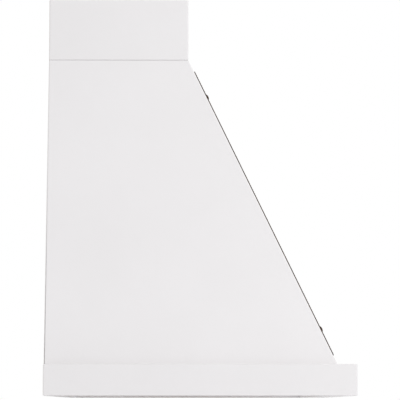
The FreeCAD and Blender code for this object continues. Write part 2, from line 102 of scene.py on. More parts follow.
class NodeBuilder:
    """Adds nodes to one tree and fills their inputs with values or links."""

    def __init__(self, tree: bpy.types.NodeTree) -> None:
        """Works on the given tree."""
        self.tree = tree

    def add(self, kind: str, inputs: Inputs | None = None, **settings: object) -> bpy.types.Node:
        """Adds one node.

        Args:
            kind: The node's type name.
            inputs: A value or another node's output for each input, by the input's name or number.
            settings: Properties of the node itself.

        Returns:
            The new node.
        """
        node = self.tree.nodes.new(kind)
        for name, setting in settings.items():
            setattr(node, name, setting)
        for key, value in (inputs or {}).items():
            if isinstance(value, Socket):
                self.tree.links.new(value, node.inputs[key])
            else:
                node.inputs[key].default_value = value
        return node


class ShaderBuilder(NodeBuilder):
    """Builds the node tree of one material."""

    CLOUD_ROUGHNESS = 0.55
    OPENNESS_SAMPLES = 8

    # The mix node has sockets of one name for each type of data, so those for colours go by number.
    COLOUR_INPUTS = (6, 7)
    COLOUR_OUTPUT = 2

    def __init__(self, name: str) -> None:
        """Starts an empty material.

        Args:
            name: The material's name.
        """
        self.material = bpy.data.materials.new(name)
        self.material.use_nodes = True
        super().__init__(self.material.node_tree)
        self.tree.nodes.clear()

    def place(self) -> Socket:
        """The point of the surface, in the object's own metres."""
        return self.add("ShaderNodeTexCoord").outputs["Object"]

    def attribute(self, name: str, output: str = "Vector") -> Socket:
        """A value stored on the piece's mesh."""
        return self.add("ShaderNodeAttribute", attribute_name=name).outputs[output]

    def vector(self, operation: str, *operands: SocketValue) -> Socket:
        """One step of vector arithmetic; lengths and dot products come out as a number."""
        node = self.add("ShaderNodeVectorMath", dict(enumerate(operands)), operation=operation)
        return node.outputs["Value" if operation in ("LENGTH", "DOT_PRODUCT") else "Vector"]

    def number(self, operation: str, *operands: SocketValue) -> Socket:
        """One step of arithmetic on plain numbers."""
        return self.add("ShaderNodeMath", dict(enumerate(operands)), operation=operation).outputs[0]

    def along(self, point: SocketValue, axis: Colour) -> Socket:
        """How far a point lies along one axis."""
        return self.vector("DOT_PRODUCT", point, axis)

    def cloud(
        self, point: SocketValue, size: float | Colour, detail: float = 2.0, output: str = "Fac"
    ) -> Socket:
        """Soft random variation.

        Args:
            point: Where on the piece.
            size: The size in metres of one patch, or its sizes along the three axes of the point.
            detail: How many finer layers are added.
            output: Fac for one number or Color for three.

        Returns:
            Values round a half, between nought and one.
        """
        sizes = size if isinstance(size, tuple) else (size,) * 3
        scaled = self.vector("MULTIPLY", point, tuple(1.0 / side for side in sizes))
        inputs = {"Vector": scaled, "Scale": 1.0, "Detail": detail, "Roughness": self.CLOUD_ROUGHNESS}
        return self.add("ShaderNodeTexNoise", inputs).outputs[output]

    def ramp(self, factor: SocketValue, stops: Sequence[tuple[float, Colour]]) -> Socket:
        """A colour for each value of a number, straight between stops.

        Args:
            factor: The number.
            stops: Values in rising order, each with its colour.

        Returns:
            The colour at the number.
        """
        node = self.add("ShaderNodeValToRGB", {"Fac": factor})
        elements = node.color_ramp.elements
        while len(elements) < len(stops):
            elements.new(1.0)
        for element, (position, colour) in zip(elements, stops):
            element.position = position
            element.color = (*colour, 1.0)
        return node.outputs["Color"]

    def spread(
        self, value: SocketValue, low: float, high: float, start: float = 0.3, end: float = 0.7
    ) -> Socket:
        """Stretches the values between start and end over low to high, and holds the rest."""
        inputs = {"Value": value, "From Min": start, "From Max": end, "To Min": low, "To Max": high}
        return self.add("ShaderNodeMapRange", inputs).outputs["Result"]

    def blend(self, factor: SocketValue, first: SocketValue, second: SocketValue) -> Socket:
        """Mixes two colours.

        Args:
            factor: Nought for the first colour, one for the second.
            first: One colour.
            second: The other one.

        Returns:
            The mixed colour.
        """
        inputs: Inputs = {"Factor": factor}
        for key, colour in zip(self.COLOUR_INPUTS, (first, second)):
            inputs[key] = (*colour, 1.0) if isinstance(colour, tuple) else colour
        return self.add("ShaderNodeMix", inputs, data_type="RGBA").outputs[self.COLOUR_OUTPUT]

    def shaded(self, colour: SocketValue, shade: SocketValue) -> Socket:
        """A colour made darker or lighter by a number."""
        grey = self.add("ShaderNodeCombineXYZ", dict.fromkeys(range(3), shade)).outputs[0]
        return self.vector("MULTIPLY", colour, grey)

    # Ambient occlusion: the finishes use it to paint shade into seams and hollows.
    def openness(self, reach: float) -> Socket:
        """One on open surfaces, less in corners and seams narrower than the reach."""
        inputs = {"Distance": reach}
        return self.add("ShaderNodeAmbientOcclusion", inputs, samples=self.OPENNESS_SAMPLES).outputs["AO"]

    def relief(self, height: SocketValue, depth: float, under: Socket | None = None) -> Socket:
        """Fine relief too small for the mesh.

        Args:
            height: How high the surface stands, from nought to one.
            depth: The metres from nought to one.
            under: Broader relief that this one lies on.

        Returns:
            The way that the surface faces.
        """
        inputs: Inputs = {"Height": height, "Distance": depth, "Strength": 1.0}
        if under is not None:
            inputs["Normal"] = under
        return self.add("ShaderNodeBump", inputs).outputs["Normal"]

    def surface(self, **inputs: SocketValue) -> Material:
        """Ends the tree in one surface shader.

        Args:
            inputs: The shader's inputs, with underscores for the spaces in their names.

        Returns:
            The finished material.
        """
        named = {name.replace("_", " "): value for name, value in inputs.items()}
        shader = self.add("ShaderNodeBsdfPrincipled", named)
        self.add("ShaderNodeOutputMaterial", {"Surface": shader.outputs["BSDF"]})
        return self.material


# Finishes ---------------------------------------------------


class Finish:
    """A finish. All pieces that have it share one material."""

    @cache
    def material(self) -> Material:
        """The finish's material, made when it is first asked for."""
        return self.mixed()

    def mixed(self) -> Material:
        """A new material with the finish's node tree."""
        raise NotImplementedError


@dataclass(frozen=True)
class SatinPaint(Finish):
    """White satin paint, sprayed: nearly even and finely stippled, with painted shade that greys it in
    narrow seams.
    """

    name: str = "white_satin_paint"
    white: Colour = (0.858, 0.842, 0.850)
    off_white: Colour = (0.836, 0.820, 0.826)
    patch: float = 0.22
    # Painted shade: the grey that the paint turns in narrow seams, how far the occlusion looks and how
    # closed a seam must be.
    seam_painted_shade: Colour = (0.785, 0.772, 0.774)
    seam_shade_reach: float = 0.006
    seam_shade_openness: Span = (0.1, 0.45)
    stipple: float = 0.0014
    stipple_depth: float = 0.000012
    sag: float = 0.045
    sag_depth: float = 0.00008
    sheen_patch: float = 0.03
    roughness: Span = (0.36, 0.46)
    gloss: float = 0.42

    def mixed(self) -> Material:
        """Mixes the paint.

        Returns:
            Its material.
        """
        tree = ShaderBuilder(self.name)
        place = tree.place()
        patches = tree.cloud(place, self.patch, detail=4.0)
        coat = tree.blend(tree.spread(patches, 0.0, 1.0), self.white, self.off_white)
        # Painted shade: ambient occlusion greys the paint in narrow seams and grooves, where shade falls.
        painted_seam_shade = tree.spread(tree.openness(self.seam_shade_reach), 1.0, 0.0, *self.seam_shade_openness)
        stipple = tree.cloud(place, self.stipple)
        sags = tree.cloud(place, (self.sag, self.sag, self.sag * 2.0))
        return tree.surface(
            Base_Color=tree.blend(painted_seam_shade, coat, self.seam_painted_shade),
            Roughness=tree.spread(tree.cloud(place, self.sheen_patch, detail=3.0), *self.roughness),
            Specular_IOR_Level=self.gloss,
            Normal=tree.relief(stipple, self.stipple_depth, under=tree.relief(sags, self.sag_depth)),
        )


@dataclass(frozen=True)
class SolidTimber(Finish):
    """Planed timber as it is cut from a log: rings about the pith and fibres along the grain."""

    name: str
    early_wood: Colour
    late_wood: Colour
    ring: float = 0.0046
    ring_steps: tuple[float, ...] = (0.0, 0.5, 0.8, 0.93, 1.0)
    bow: Colour = (0.9, 0.10, 0.10)
    wander: float = 0.044
    fibre: Colour = (0.07, 0.0009, 0.0009)
    fibre_depth: float = 0.00005
    fibre_shade: Span = (0.82, 1.0)
    log_patch: Colour = (1.4, 0.5, 0.5)
    log_shade: Span = (0.86, 1.04)
    roughness: Span = (0.59, 0.72)
    gloss: float = 0.35
    log_length: float = 9.0
    beside_pith: Span = (-0.05, 0.05)
    above_pith: Span = (0.035, 0.09)

    def cut(self, chance: random.Random) -> Vector:
        """Where in the log a board is cut: how far along it, and how far to each side of the pith."""
        spans = ((0.0, self.log_length), self.beside_pith, self.above_pith)
        return Vector([chance.uniform(*span) for span in spans])

    def mixed(self) -> Material:
        """Grows the timber. Each ring goes from early to late wood and starts again.

        Returns:
            Its material.
        """
        tree = ShaderBuilder(self.name)
        grain = tree.attribute(GRAIN)
        bend = tree.vector("SUBTRACT", tree.cloud(grain, self.bow, 3.0, "Color"), (0.5, 0.5, 0.5))
        bent = tree.vector("MULTIPLY_ADD", bend, (0.0, self.wander, self.wander), grain)
        radius = tree.vector("LENGTH", tree.vector("MULTIPLY", bent, (0.0, 1.0, 1.0)))
        age = tree.number("FRACT", tree.number("DIVIDE", radius, self.ring))
        middle = tuple((early + late) / 2.0 for early, late in zip(self.early_wood, self.late_wood))
        colours = (self.early_wood, self.early_wood, middle, self.late_wood, self.early_wood)
        rings = tree.ramp(age, tuple(zip(self.ring_steps, colours)))
        fibres = tree.cloud(grain, self.fibre, detail=3.0)
        streaks = tree.spread(fibres, *self.fibre_shade)
        patches = tree.spread(tree.cloud(grain, self.log_patch, detail=1.0), *self.log_shade)
        return tree.surface(
            Base_Color=tree.shaded(rings, tree.number("MULTIPLY", streaks, patches)),
            Roughness=tree.spread(fibres, *self.roughness),
            Specular_IOR_Level=self.gloss,
            Normal=tree.relief(fibres, self.fibre_depth),
        )


@dataclass(frozen=True)
class Plywood(Finish):
    """Bare birch plywood: rotary figure on its faces and crossing plies on its edges."""

    name: str
    thickness: float
    plies: int
    face: Colour = (0.735, 0.565, 0.355)
    figure: Colour = (0.585, 0.405, 0.222)
    figure_strength: float = 0.75
    figure_wave: Span = (-0.6, 1.0)
    crossing: Colour = (0.430, 0.272, 0.140)
    glue: Colour = (0.165, 0.092, 0.045)
    glue_line: Span = (0.03, 0.09)
    sweep: Colour = (0.55, 0.075, 0.075)
    bands: float = 30.0
    fibre: Colour = (0.05, 0.0011, 0.0011)
    fibre_depth: float = 0.00004
    fibre_shade: Span = (0.84, 1.0)
    roughness: Span = (0.55, 0.68)
    gloss: float = 0.35
    sheet: float = 9.0

    def cut(self, chance: random.Random) -> Vector:
        """Where in a sheet a board is cut; its outer face is always the sheet's own face."""
        return Vector((chance.uniform(0.0, self.sheet), chance.uniform(0.0, self.sheet), 0.0))

    def mixed(self) -> Material:
        """Presses the plywood. The two outer plies are half as thick as the others.

        Returns:
            Its material.
        """
        tree = ShaderBuilder(self.name)
        grain = tree.attribute(GRAIN)
        ply = self.thickness / (self.plies - 1)
        level = tree.number("ADD", tree.number("DIVIDE", tree.along(grain, (0.0, 0.0, 1.0)), ply), 0.5)
        crosses = tree.number("MODULO", tree.number("FLOOR", level), 2.0)
        glued = tree.spread(tree.number("PINGPONG", level, 0.5), 1.0, 0.0, *self.glue_line)
        contours = tree.number("MULTIPLY", tree.cloud(grain, self.sweep), self.bands)
        figured = tree.spread(tree.number("SINE", contours), 0.0, self.figure_strength, *self.figure_wave)
        fibres = tree.cloud(grain, self.fibre, detail=3.0)
        face = tree.blend(figured, self.face, self.figure)
        wood = tree.blend(glued, tree.blend(crosses, face, self.crossing), self.glue)
        return tree.surface(
            Base_Color=tree.shaded(wood, tree.spread(fibres, *self.fibre_shade)),
            Roughness=tree.spread(fibres, *self.roughness),
            Specular_IOR_Level=self.gloss,
            Normal=tree.relief(fibres, self.fibre_depth),
        )


@dataclass(frozen=True)
class DarkBronze(Finish):
    """Oil-rubbed bronze: almost black in the dents, browner and smoother where it is worn."""

    name: str = "oil_rubbed_bronze"
    patina: Colour = (0.030, 0.020, 0.013)
    warm_patina: Colour = (0.064, 0.041, 0.025)
    bare_metal: Colour = (0.200, 0.120, 0.070)
    grazing: Colour = (0.30, 0.24, 0.19)
    metal_share: float = 0.75
    blotch: float = 0.016
    blotch_wear: Span = (0.15, 1.0)
    scale_grain: float = 0.0008
    scale_depth: float = 0.00004
    roughness: Span = (0.36, 0.50)
    polish: float = 0.12
    gloss: float = 0.2

    def mixed(self) -> Material:
        """Rubs the bronze.

        Returns:
            Its material.
        """
        tree = ShaderBuilder(self.name)
        place = tree.place()
        blotches = tree.cloud(place, self.blotch, detail=4.0)
        grains = tree.cloud(place, self.scale_grain)
        spots = tree.spread(blotches, *self.blotch_wear)
        wear = tree.number("MULTIPLY", tree.attribute(WORN, "Fac"), spots)
        patina = tree.blend(tree.spread(blotches, 0.0, 1.0), self.patina, self.warm_patina)
        polished = tree.number("MULTIPLY", wear, self.polish)
        return tree.surface(
            Base_Color=tree.blend(wear, patina, self.bare_metal),
            Metallic=self.metal_share,
            Specular_IOR_Level=self.gloss,
            Specular_Tint=(*self.grazing, 1.0),
            Roughness=tree.number("SUBTRACT", tree.spread(grains, *self.roughness), polished),
            Normal=tree.relief(grains, self.scale_depth),
        )


@dataclass(frozen=True)
class ZincPlate(Finish):
    """Zinc plating on screws: bright and faintly blue, with painted shade that darkens its hollows."""

    name: str = "zinc_plate"
    bright: Colour = (0.60, 0.615, 0.63)
    dull: Colour = (0.44, 0.445, 0.43)
    spangle: float = 0.002
    spangle_depth: float = 0.00001
    # Painted shade: the dark colour put into the cross recess and other hollows, with its strength, reach
    # and openness range.
    hollow: Colour = (0.10, 0.095, 0.09)
    hollow_shade_strength: float = 0.8
    hollow_shade_reach: float = 0.0012
    hollow_shade_openness: Span = (0.3, 0.8)
    metal_share: float = 0.95
    roughness: Span = (0.26, 0.42)

    def mixed(self) -> Material:
        """Dips the plating.

        Returns:
            Its material.
        """
        tree = ShaderBuilder(self.name)
        spangles = tree.cloud(tree.place(), self.spangle, detail=3.0)
        metal = tree.blend(tree.spread(spangles, 0.0, 1.0), self.bright, self.dull)
        # Painted shade: ambient occlusion darkens the plating in the cross recess and other hollows.
        openness = tree.openness(self.hollow_shade_reach)
        painted_hollow_shade = tree.spread(openness, self.hollow_shade_strength, 0.0, *self.hollow_shade_openness)
        return tree.surface(
            Base_Color=tree.blend(painted_hollow_shade, metal, self.hollow),
            Metallic=self.metal_share,
            Roughness=tree.spread(spangles, *self.roughness),
            Normal=tree.relief(spangles, self.spangle_depth),
        )


class Stock(Enum):
    """What a board is cut from."""

    SOFTWOOD = SolidTimber("planed_softwood", (0.690, 0.500, 0.290), (0.480, 0.265, 0.115))
    POPLAR = SolidTimber("planed_poplar", (0.640, 0.560, 0.385), (0.520, 0.430, 0.260), ring=0.0065)
    SHELL_PLY = Plywood("birch_ply_18", thickness=0.018, plies=13)
    SHELF_PLY = Plywood("birch_ply_12", thickness=0.012, plies=9)


# Meshes -----------------------------------------------------


def opened(node: str) -> BMesh:
    """Copies one solid, with its loose triangles joined and its flat faces made whole.

    Args:
        node: The solid's name.

    Returns:
        The copy, to work on.
    """
    mesh = bmesh.new()
    mesh.from_mesh(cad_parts[node].data)
    bmesh.ops.remove_doubles(mesh, verts=mesh.verts, dist=TOUCHING)
    bmesh.ops.dissolve_limit(
        mesh, angle_limit=FLAT, verts=mesh.verts, edges=mesh.edges, delimit={"NORMAL"}
    )
    mesh.normal_update()
    return mesh


def lumps(mesh: BMesh) -> list[list[Vector]]:
    """Finds what in a mesh hangs together.

    Args:
        mesh: The mesh, of one or more separate lumps.

    Returns:
        The points of each lump. The lumps are in the order of the mesh, so each run gives the same.
    """
    seen = set()
    found = []
    for start in mesh.verts:
        if start in seen:
            continue
        seen.add(start)
        reached = [start]
        for vertex in reached:
            for edge in vertex.link_edges:
                other = edge.other_vert(vertex)
                if other not in seen:
                    seen.add(other)
                    reached.append(other)
        found.append([vertex.co.copy() for vertex in reached])
    return found


def ease_arrises(mesh: BMesh, width: float) -> None:
    """Rounds every sharp edge of a mesh, as sandpaper does.

    Args:
        mesh: The mesh to change.
        width: How far the rounding reaches from the edge.
    """
    sharp = [edge for edge in mesh.edges if edge.is_manifold and edge.calc_face_angle() > SHARP]
    bmesh.ops.bevel(
        mesh, geom=sharp, offset=width, segments=2, profile=0.5, affect="EDGES", clamp_overlap=True
    )
    mesh.normal_update()


def settled(mesh: BMesh, name: str) -> bpy.types.Mesh:
    """Ends the work on a mesh: smooth on its curves and crisp on its corners.

    Args:
        mesh: The mesh under work, which is freed.
        name: The name of the finished mesh.

    Returns:
        The finished mesh.
    """
    result = bpy.data.meshes.new(name)
    mesh.to_mesh(result)
    mesh.free()
    result.shade_smooth()
    result.set_sharp_from_angle(angle=SHARP)
    return result


def finish_piece(
    name: str, mesh: bpy.types.Mesh, materials: Iterable[Material], slot: str, stands_for: str
) -> bpy.types.Object:
    """Puts a finished piece into the scene in place of its solid.

    Args:
        name: The piece's name.
        mesh: Its mesh, already in place.
        materials: Its materials, in the order that the faces number them.
        slot: The record's material slot of the piece.
        stands_for: The solid that the piece replaces.

    Returns:
        The new object.
    """
    for material in materials:
        mesh.materials.append(material)
    piece = bpy.data.objects.new(name, mesh)
    bpy.context.scene.collection.objects.link(piece)
    even = piece.modifiers.new("even_normals", "WEIGHTED_NORMAL")
    even.keep_sharp = True
    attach(piece, "root")
    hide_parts(stands_for)
    log.info("%-32s %6d faces  %s", name, len(mesh.polygons), slot)
    return piece


# Boards -----------------------------------------------------


class Grain(Enum):
    """Which way the grain of a board runs."""

    LENGTHWISE = "along the longest edge"
    UPRIGHT = "as nearly upright as the board allows"


@dataclass(frozen=True)
class Lie:
    """How a flat piece lies: a corner, three square directions and its size along each of them."""

    corner: Vector
    along: Vector
    across: Vector
    through: Vector
    size: Vector

    @classmethod
    def of(cls, mesh: BMesh, grain: Grain = Grain.LENGTHWISE) -> "Lie":
        """Measures a piece.

        Args:
            mesh: The piece's mesh, with its flat faces whole.
            grain: Which way its length is taken to run.

        Returns:
            Its lie. The through direction is square to the largest faces, and the length doesn't run down.
        """
        out_of_face, downward = 0.05, -0.1
        through = max(mesh.faces, key=lambda face: face.calc_area()).normal.copy()
        if grain is Grain.UPRIGHT:
            along = UP.copy()
        else:
            edges = (edge.verts[1].co - edge.verts[0].co for edge in mesh.edges)
            in_face = (edge for edge in edges if abs(edge.normalized().dot(through)) < out_of_face)
            along = max(in_face, key=lambda edge: edge.length)
        along = (along - through * along.dot(through)).normalized()
        if along.z < downward:
            along.negate()
        axes = (along, through.cross(along), through)
        reach = [[vertex.co.dot(axis) for vertex in mesh.verts] for axis in axes]
        low = Vector([min(values) for values in reach])
        high = Vector([max(values) for values in reach])
        corner = sum((axis * start for axis, start in zip(axes, low)), Vector())
        return cls(corner, *axes, high - low)

    def local(self, point: Vector) -> Vector:
        """A point as its distances along, across and through the piece."""
        arm = point - self.corner
        return Vector((arm.dot(self.along), arm.dot(self.across), arm.dot(self.through)))

    def matrix(self) -> Matrix:
        """Takes distances along, across and through the piece to their place on the cover."""
        turn = Matrix((self.along, self.across, self.through)).transposed()
        return Matrix.Translation(self.corner) @ turn.to_4x4()


class Side(Enum):
    """A side of a board, seen from the middle of the ring of boards that it belongs to."""

    OUTER = 1
    INNER = -1
    TOP = 2
    BOTTOM = -2

    def direction(self, board_middle: Vector, ring_middle: Vector) -> Vector:
        """The way that this side of a board faces.

        Args:
            board_middle: The middle of the board.
            ring_middle: The middle of its ring.

        Returns:
            A level or upright direction of length one.
        """
        if self in (Side.TOP, Side.BOTTOM):
            return UP * math.copysign(1.0, self.value)
        away = board_middle - ring_middle
        axis = Vector((away.x, 0.0, 0.0)) if abs(away.x) > abs(away.y) else Vector((0.0, away.y, 0.0))
        return axis.normalized() * self.value


@dataclass(frozen=True)
class Board:
    """One board: its solid, what it is cut from, how its grain runs and which sides are painted."""

    node: str
    stock: Stock
    slot: str
    grain: Grain = Grain.LENGTHWISE
    painted: tuple[Side, ...] = ()
    arris: float = 0.0007
    faces_alike: float = 0.35

    def middle(self) -> Vector:
        """The middle of the board's box."""
        low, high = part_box(self.node)
        return (low + high) / 2.0

    def build(self, ring_middle: Vector, paint: SatinPaint) -> bpy.types.Object:
        """Makes the finished board.

        Args:
            ring_middle: The middle of the ring of boards that it belongs to.
            paint: The paint of its painted sides.

        Returns:
            The finished piece.
        """
        name = self.node + "_finished"
        work = opened(self.node)
        lie = Lie.of(work, self.grain)
        if self.arris:
            ease_arrises(work, self.arris)
        directions = [side.direction(self.middle(), ring_middle) for side in self.painted]
        for face in work.faces:
            face.material_index = int(any(face.normal.dot(way) > self.faces_alike for way in directions))
        mesh = settled(work, name)
        self._lay_grain(mesh, lie)
        materials = [self.stock.value.material()] + [paint.material()] * bool(self.painted)
        return finish_piece(name, mesh, materials, self.slot, self.node)

    def _lay_grain(self, mesh: bpy.types.Mesh, lie: Lie) -> None:
        """Stores each point's place in the log or sheet that the board is cut from.

        Args:
            mesh: The board's mesh.
            lie: How the board lies.
        """
        cut = self.stock.value.cut(random.Random(self.node))
        values = mesh.attributes.new(GRAIN, "FLOAT_VECTOR", "POINT").data
        for value, vertex in zip(values, mesh.vertices):
            value.vector = lie.local(vertex.co) + cut


@dataclass(frozen=True)
class Ring:
    """Boards that stand round one middle."""

    boards: tuple[Board, ...]

    def middle(self) -> Vector:
        """Finds the middle of the ring.

        Returns:
            The middle of the box round all the boards.
        """
        corners = [corner for board in self.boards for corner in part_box(board.node)]
        low = Vector([min(corner[axis] for corner in corners) for axis in range(3)])
        high = Vector([max(corner[axis] for corner in corners) for axis in range(3)])
        return (low + high) / 2.0

    def build(self, paint: SatinPaint) -> None:
        """Makes every board of the ring.

        Args:
            paint: The paint of their painted sides.
        """
        middle = self.middle()
        for board in self.boards:
            board.build(middle, paint)


def both(*kinds: str) -> Names:
    """The left and the right piece of each kind."""
    return tuple(f"{side}_{kind}" for kind in kinds for side in ("left", "right"))


@dataclass(frozen=True)
class PaintedShell:
    """What shows from the room: the sloped body, the chimney over it and the block band at its foot."""

    paint: SatinPaint
    slot: str = "painted_boards"
    body: Names = ("front_panel", *both("side_panel"))
    chimney: Names = ("chimney_front", *both("chimney_side"))
    band: Names = ("band_front", *both("band_side"))

    def build(self) -> None:
        """Makes the three rings. Their visible edges are rounded in the solids already."""
        for nodes in (self.body, self.chimney):
            boards = (
                Board(node, Stock.SHELL_PLY, self.slot, Grain.UPRIGHT, (Side.OUTER,), arris=0.0)
                for node in nodes
            )
            Ring(tuple(boards)).build(self.paint)
        sides = (Side.OUTER, Side.TOP, Side.BOTTOM)
        boards = (Board(node, Stock.POPLAR, self.slot, painted=sides, arris=0.0) for node in self.band)
        Ring(tuple(boards)).build(self.paint)


@dataclass(frozen=True)
class Framework:
    """The timber inside. What can be seen from the room below is painted, the rest is bare."""

    paint: SatinPaint
    slot: str = "frame_timber"
    base: Names = ("base_front_rail", *both("base_rail"), "base_back_rail")
    ledgers: Names = ("front_ledger", *both("ledger"), "back_ledger")
    hidden: Names = (
        "lower_mounting_rail",
        "hanging_rail",
        *both("back_stile", "hip_batten"),
        "deck_front_rail",
        *both("deck_rail"),
        "chimney_front_cleat",
        *both("chimney_cleat", "chimney_corner_block"),
        "chimney_back_rail",
    )
    painted_arris: float = 0.0003

    def build(self) -> None:
        """Makes every rail, ledger, stile, batten, cleat and block."""
        for nodes, seen in (
            (self.base, (Side.INNER, Side.BOTTOM, Side.TOP)),
            (self.ledgers, (Side.INNER, Side.BOTTOM)),
        ):
            boards = (
                Board(node, Stock.SOFTWOOD, self.slot, painted=seen, arris=self.painted_arris)
                for node in nodes
            )
            Ring(tuple(boards)).build(self.paint)
        Ring(tuple(Board(node, Stock.SOFTWOOD, self.slot) for node in self.hidden)).build(self.paint)


@dataclass(frozen=True)
class InsertShelf:
    """The plywood shelf that carries the ventilation insert, painted underneath."""

    paint: SatinPaint
    node: str = "insert_shelf"
    slot: str = "shelf_plywood"
    arris: float = 0.0004

    def build(self) -> None:
        """Makes the shelf."""
        shelf = Board(self.node, Stock.SHELF_PLY, self.slot, painted=(Side.BOTTOM,), arris=self.arris)
        Ring((shelf,)).build(self.paint)


# Metalwork --------------------------------------------------


def band_steps(length: float, radius: float, step: float, turns: int = 2) -> list[float]:
    """Places of the mesh lines across one side of a slab: close in the rounded ends, even between them.

    Args:
        length: The side's length.
        radius: The radius of the rounded edge at each end.
        step: The spacing between the ends, at most.
        turns: How many faces half a rounded edge has.

    Returns:
        The places, from nought to the length.
    """
    ends = [radius * (1.0 - math.tan(math.pi / 4.0 * (1.0 - turn / turns))) for turn in range(turns + 1)]
    count = max(1, math.ceil((length - 2.0 * radius) / step))
    between = [radius + (length - 2.0 * radius) * index / count for index in range(1, count)]
    return [*ends, *between, *(length - end for end in reversed(ends))]


def rounded_slab(size: Vector, radius: float, step: Vector) -> BMesh:
    """A slab with round edges and an even mesh, with one corner at the origin.

    Args:
        size: The slab's length, width and thickness.
        radius: The radius of all its edges.
        step: The spacing of the mesh along each side, at most.

    Returns:
        The slab's mesh.
    """
    lines = [band_steps(size[axis], radius, step[axis]) for axis in range(3)]
    low, high = Vector((radius,) * 3), size - Vector((radius,) * 3)
    mesh = bmesh.new()
    corners: dict[tuple[int, ...], bmesh.types.BMVert] = {}

    def corner(index: tuple[int, ...]) -> bmesh.types.BMVert:
        """Finds or makes the rounded point at one crossing of the mesh lines.

        Args:
            index: The number of the line along each axis.

        Returns:
            The point.
        """
        if index not in corners:
            raw = Vector([lines[axis][index[axis]] for axis in range(3)])
            core = Vector([min(max(raw[axis], low[axis]), high[axis]) for axis in range(3)])
            corners[index] = mesh.verts.new(core + (raw - core).normalized() * radius)
        return corners[index]

    for axis in range(3):
        first, second = (axis + 1) % 3, (axis + 2) % 3
        for level in (0, len(lines[axis]) - 1):
            for i in range(len(lines[first]) - 1):
                for j in range(len(lines[second]) - 1):
                    ring = []
                    for di, dj in ((0, 0), (1, 0), (1, 1), (0, 1)):
                        index = [0, 0, 0]
                        index[axis], index[first], index[second] = level, i + di, j + dj
                        ring.append(corner(tuple(index)))
                    mesh.faces.new(ring if level else ring[::-1])
    return mesh


def turned_profile(profile: Sequence[Span], steps: int) -> BMesh:
    """Turns a profile about the Z axis.

    Args:
        profile: Radius and height of each point, from the top of the axis to its foot.
        steps: How many faces go round.

    Returns:
        A closed mesh.
    """
    mesh = bmesh.new()
    points = [mesh.verts.new((radius, 0.0, height)) for radius, height in profile]
    edges = [mesh.edges.new(pair) for pair in zip(points, points[1:])]
    bmesh.ops.spin(
        mesh,
        geom=points + edges,
        cent=(0, 0, 0),
        axis=(0, 0, 1),
        angle=math.tau,
        steps=steps,
        use_merge=True,
    )
    bmesh.ops.remove_doubles(mesh, verts=mesh.verts, dist=MERGED)
    bmesh.ops.recalc_face_normals(mesh, faces=mesh.faces)
    return mesh


def temporary(mesh: BMesh, name: str) -> bpy.types.Object:
    """Makes an object that only serves while another is made.

    Args:
        mesh: Its mesh, which is freed.
        name: Its name.

    Returns:
        The object, in the scene.
    """
    thing = bpy.data.objects.new(name, settled(mesh, name))
    bpy.context.scene.collection.objects.link(thing)
    return thing


def taken(thing: bpy.types.Object, name: str) -> bpy.types.Mesh:
    """Takes the mesh that a temporary object's modifiers make; the object itself goes.

    Args:
        thing: The temporary object.
        name: The mesh's name.

    Returns:
        The mesh.
    """
    depsgraph = bpy.context.evaluated_depsgraph_get()
    mesh = bpy.data.meshes.new_from_object(thing.evaluated_get(depsgraph))
    mesh.name = name
    thing.modifiers.clear()
    bpy.data.objects.remove(thing)
    return mesh


def combined(first: BMesh, second: BMesh, operation: str) -> BMesh:
    """Joins one closed mesh to another, or cuts it out.

    Args:
        first: The mesh to change, which is freed.
        second: The mesh to join or cut out, which is freed.
        operation: UNION or DIFFERENCE.

    Returns:
        The new mesh.
    """
    whole, tool = temporary(first, "whole"), temporary(second, "tool")
    change = whole.modifiers.new("change", "BOOLEAN")
    change.operation = operation
    change.solver = "EXACT"
    change.object = tool
    result = taken(whole, "result")
    bpy.data.objects.remove(tool)
    mesh = bmesh.new()
    mesh.from_mesh(result)
    bpy.data.meshes.remove(result)
    return mesh


